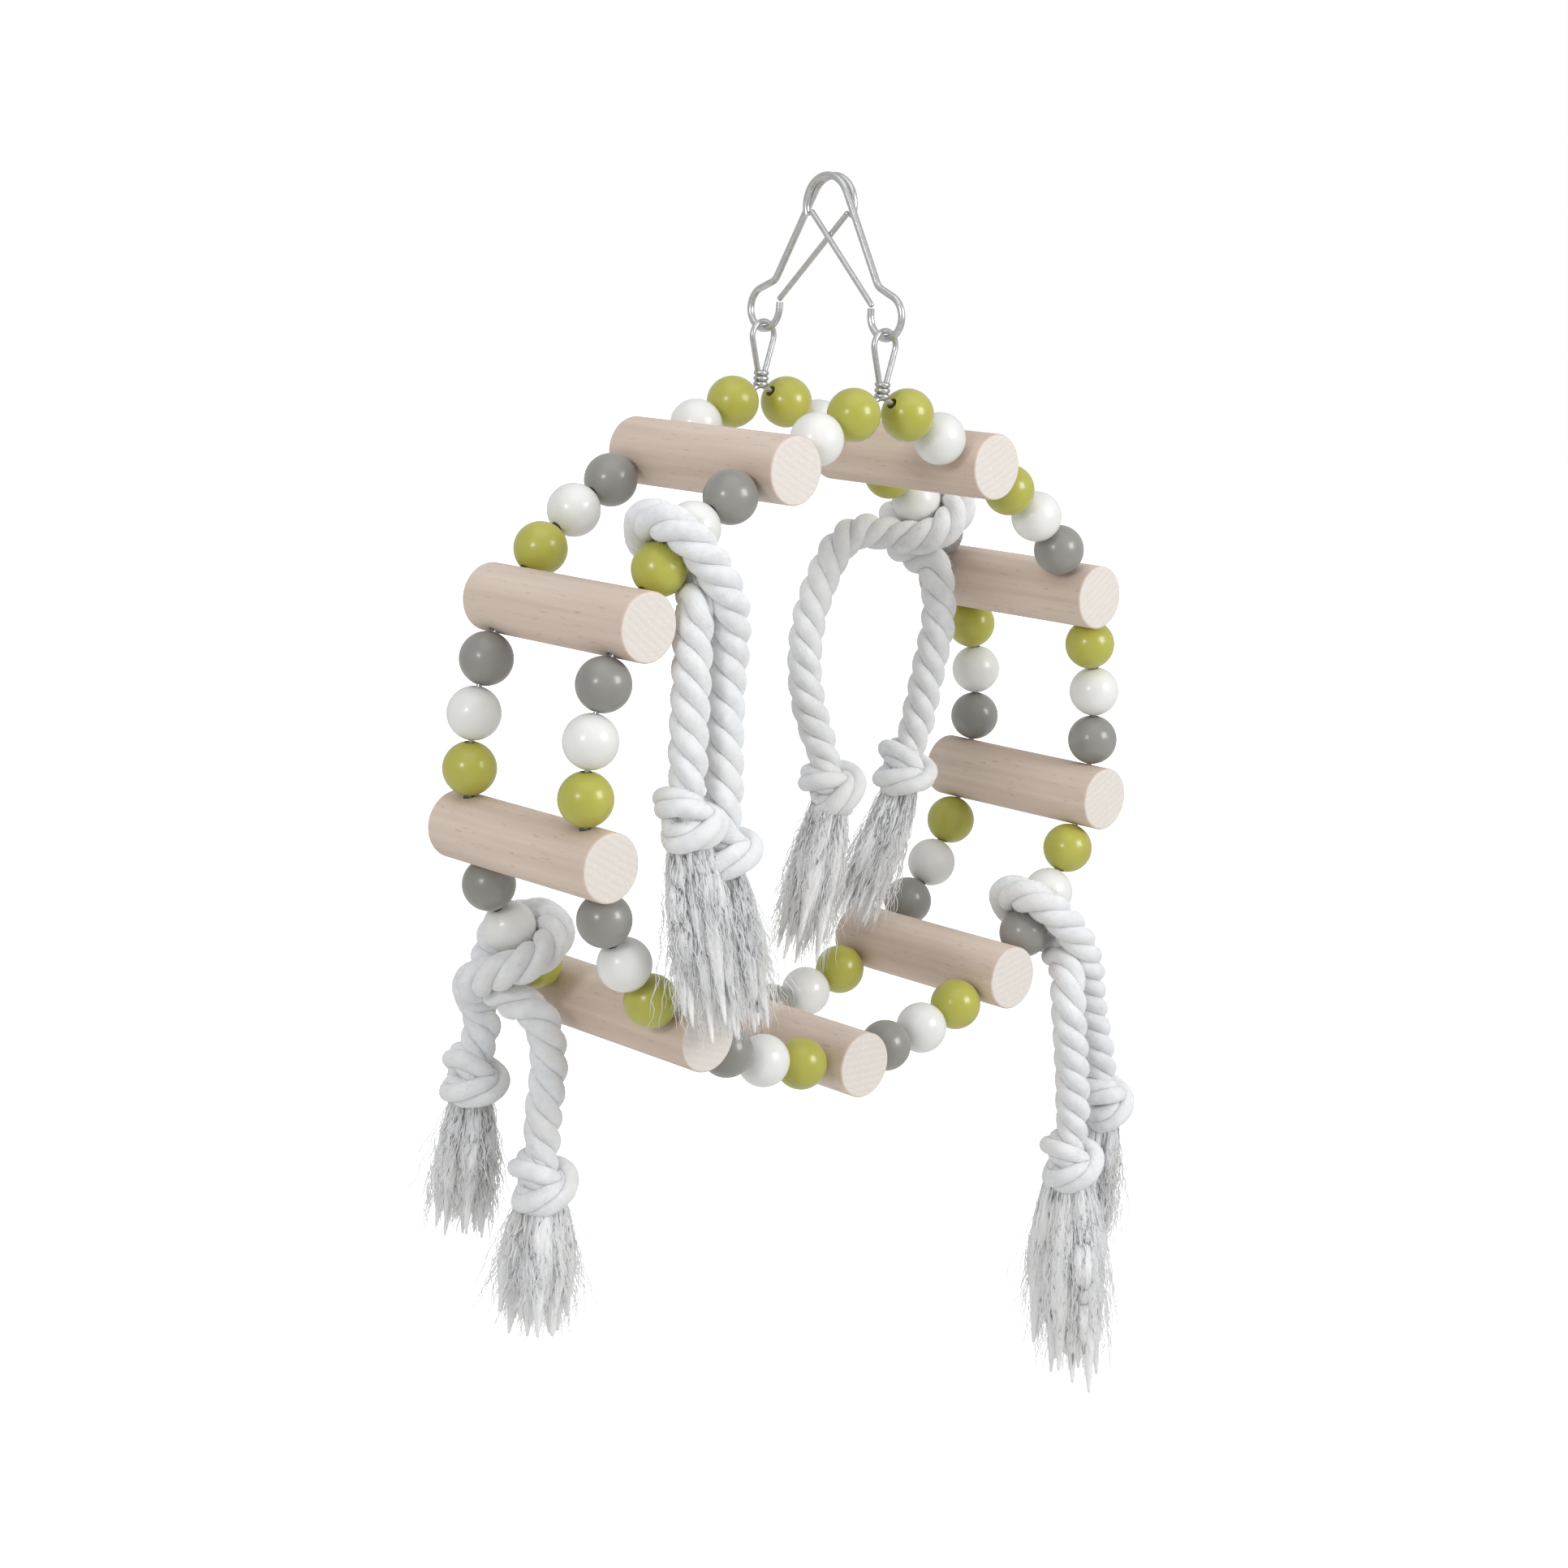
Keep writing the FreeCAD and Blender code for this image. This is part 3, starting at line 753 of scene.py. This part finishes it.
def bundle_rings(chance, line, radii, sides, bundles):
    """Rings of a bundle of yarns: a round section with deep and fine ridges that drift round it."""
    phases = [chance.uniform(0, math.tau) for _ in range(3)]
    rings = []
    for row, ((_, side, over), point, radius) in enumerate(zip(frames(line), line, radii)):
        share = row / len(line)
        drift = 2.8 * math.sin(share * 5 + phases[1])
        ring = []
        for at in range(sides):
            angle = math.tau * at / sides
            ridge = 0.07 * math.cos(bundles * angle + drift + phases[0])
            fine = 0.045 * math.cos(3 * bundles * angle - drift * 1.6 + phases[2] + 9 * share)
            reach = radius * (0.92 + ridge + fine)
            ring.append(point + side * (reach * math.cos(angle)) + over * (reach * math.sin(angle)))
        rings.append(ring)
    return rings


def add_lock(mesh, chance, lock, start, axes, long, width):
    """The dense inside of one lock, thick at its middle and thin at its tip."""
    shares = [row / TASSEL_ROWS for row in range(TASSEL_ROWS + 1)]
    line = [lock_point(lock, start, axes, long, width, share * LOCK_LENGTH) for share in shares]
    full = width * chance.uniform(0.13, 0.16)
    bodies = [0.6 + 0.4 * math.sin(math.pi * min(1.0, 1.2 * share)) for share in shares]
    radii = [full * body * (1 - 0.85 * share**4) for body, share in zip(bodies, shares)]
    mesh.add_rings(bundle_rings(chance, line, radii, LOCK_SIDES, chance.choice((5, 6, 7))))


def add_heart(mesh, chance, start, axes, long, width):
    """The closed middle of a frayed end, which the locks lie round."""
    shares = [row / TASSEL_ROWS for row in range(TASSEL_ROWS + 1)]
    line = [start + axes[0] * (long * HEART_LENGTH * share) for share in shares]
    radii = [flare_at(width, share) * HEART_SHARE * (1 - 0.93 * share**4) for share in shares]
    mesh.add_rings(bundle_rings(chance, line, radii, HEART_SIDES, chance.choice((11, 13))))


def add_yarn(mesh, chance, lock, start, axes, long, width, thick):
    """One crimped fibre of a lock, which strays a little from its middle line."""
    _, side, over = axes
    turn = chance.uniform(0, math.tau)
    stray = side * math.cos(turn) + over * math.sin(turn)
    stray_far = chance.uniform(0.6, 1.0) * width * 0.17
    wild = chance.random() ** 5 * width * 0.4
    reach = long * chance.uniform(0.55, 1.02)
    crimp = chance.uniform(0.0002, 0.0008)
    crimp_pitch = chance.uniform(0.0055, 0.0105)
    phases = [chance.uniform(0, math.tau) for _ in range(2)]
    line = []
    for at in range(FIBRE_SEGMENTS + 1):
        share = at / FIBRE_SEGMENTS
        along = math.tau * reach * share / crimp_pitch
        loose = crimp * min(1.0, 0.3 + 2 * share)
        point = lock_point(lock, start, axes, reach, width, share)
        point += stray * (stray_far * (0.5 + 0.5 * min(1.0, 2 * share)) + wild * share * share)
        point += over * (loose * math.sin(along + phases[0]))
        point += side * (loose * math.sin(along * 0.83 + phases[1]))
        line.append(point)
    taper = [1.0] * (FIBRE_SEGMENTS - 2) + [0.8, 0.55, 0.3]
    mesh.add_tube(line, [thick / 2 * part for part in taper], 4 if thick > ROUND_FIBRE else 3)


def make_tassel(name, rope, number, seed):
    """The frayed end below a knot: locks of crimped yarn that part and flare."""
    body = f"{name}_rope"
    chance = random.Random(seed)
    start = from_ring_centre(rope["knots"][number - 1]) - Vector((0, 0, TASSEL_START))
    run = from_ring_centre(rope["tassels"][number - 1]) - start
    width = rope["widths"][number - 1]
    down = run.normalized()
    side = down.orthogonal().normalized()
    axes = (down, side, down.cross(side))
    mesh = Mesh()
    locks = tassel_locks(chance, axes[1], axes[2])
    long = run.length * TASSEL_LENGTH
    add_heart(mesh, chance, start, axes, long, width)
    for lock in locks:
        add_lock(mesh, chance, lock, start, axes, long, width)
    for thick, count in FIBRES:
        for _ in range(count):
            add_yarn(mesh, chance, chance.choice(locks), start, axes, long, width, thick)
    node_name = f"{body}_tassel_{number}"
    piece_name = f"{body}_frayed_end_{number}"
    return new_piece(piece_name, mesh, TASSEL_COTTON, body, [node_name])


# Assembly


def dress_cad_nodes():
    """Give every CAD node that stays its material."""
    for name, cad_node in frame["nodes"].items():
        if name.startswith("rung"):
            paint(cad_node, WOOD)
        elif "_beads_" in name:
            paint(cad_node, LACQUERS[name.split("_")[0]])
        elif "hook" in name:
            paint(cad_node, HOOK_STEEL)
        elif "ring_wire" in name or "hanging_eye" in name:
            paint(cad_node, RING_STEEL)


def main():
    """Build the whole picture."""
    make_light(*make_camera())
    make_floor()
    for number, (name, rope) in enumerate(ROPES.items()):
        make_rope(name, rope, 100 * (number + 1))
    dress_cad_nodes()
    bpy.context.scene.view_settings.view_transform = "Standard"


main()
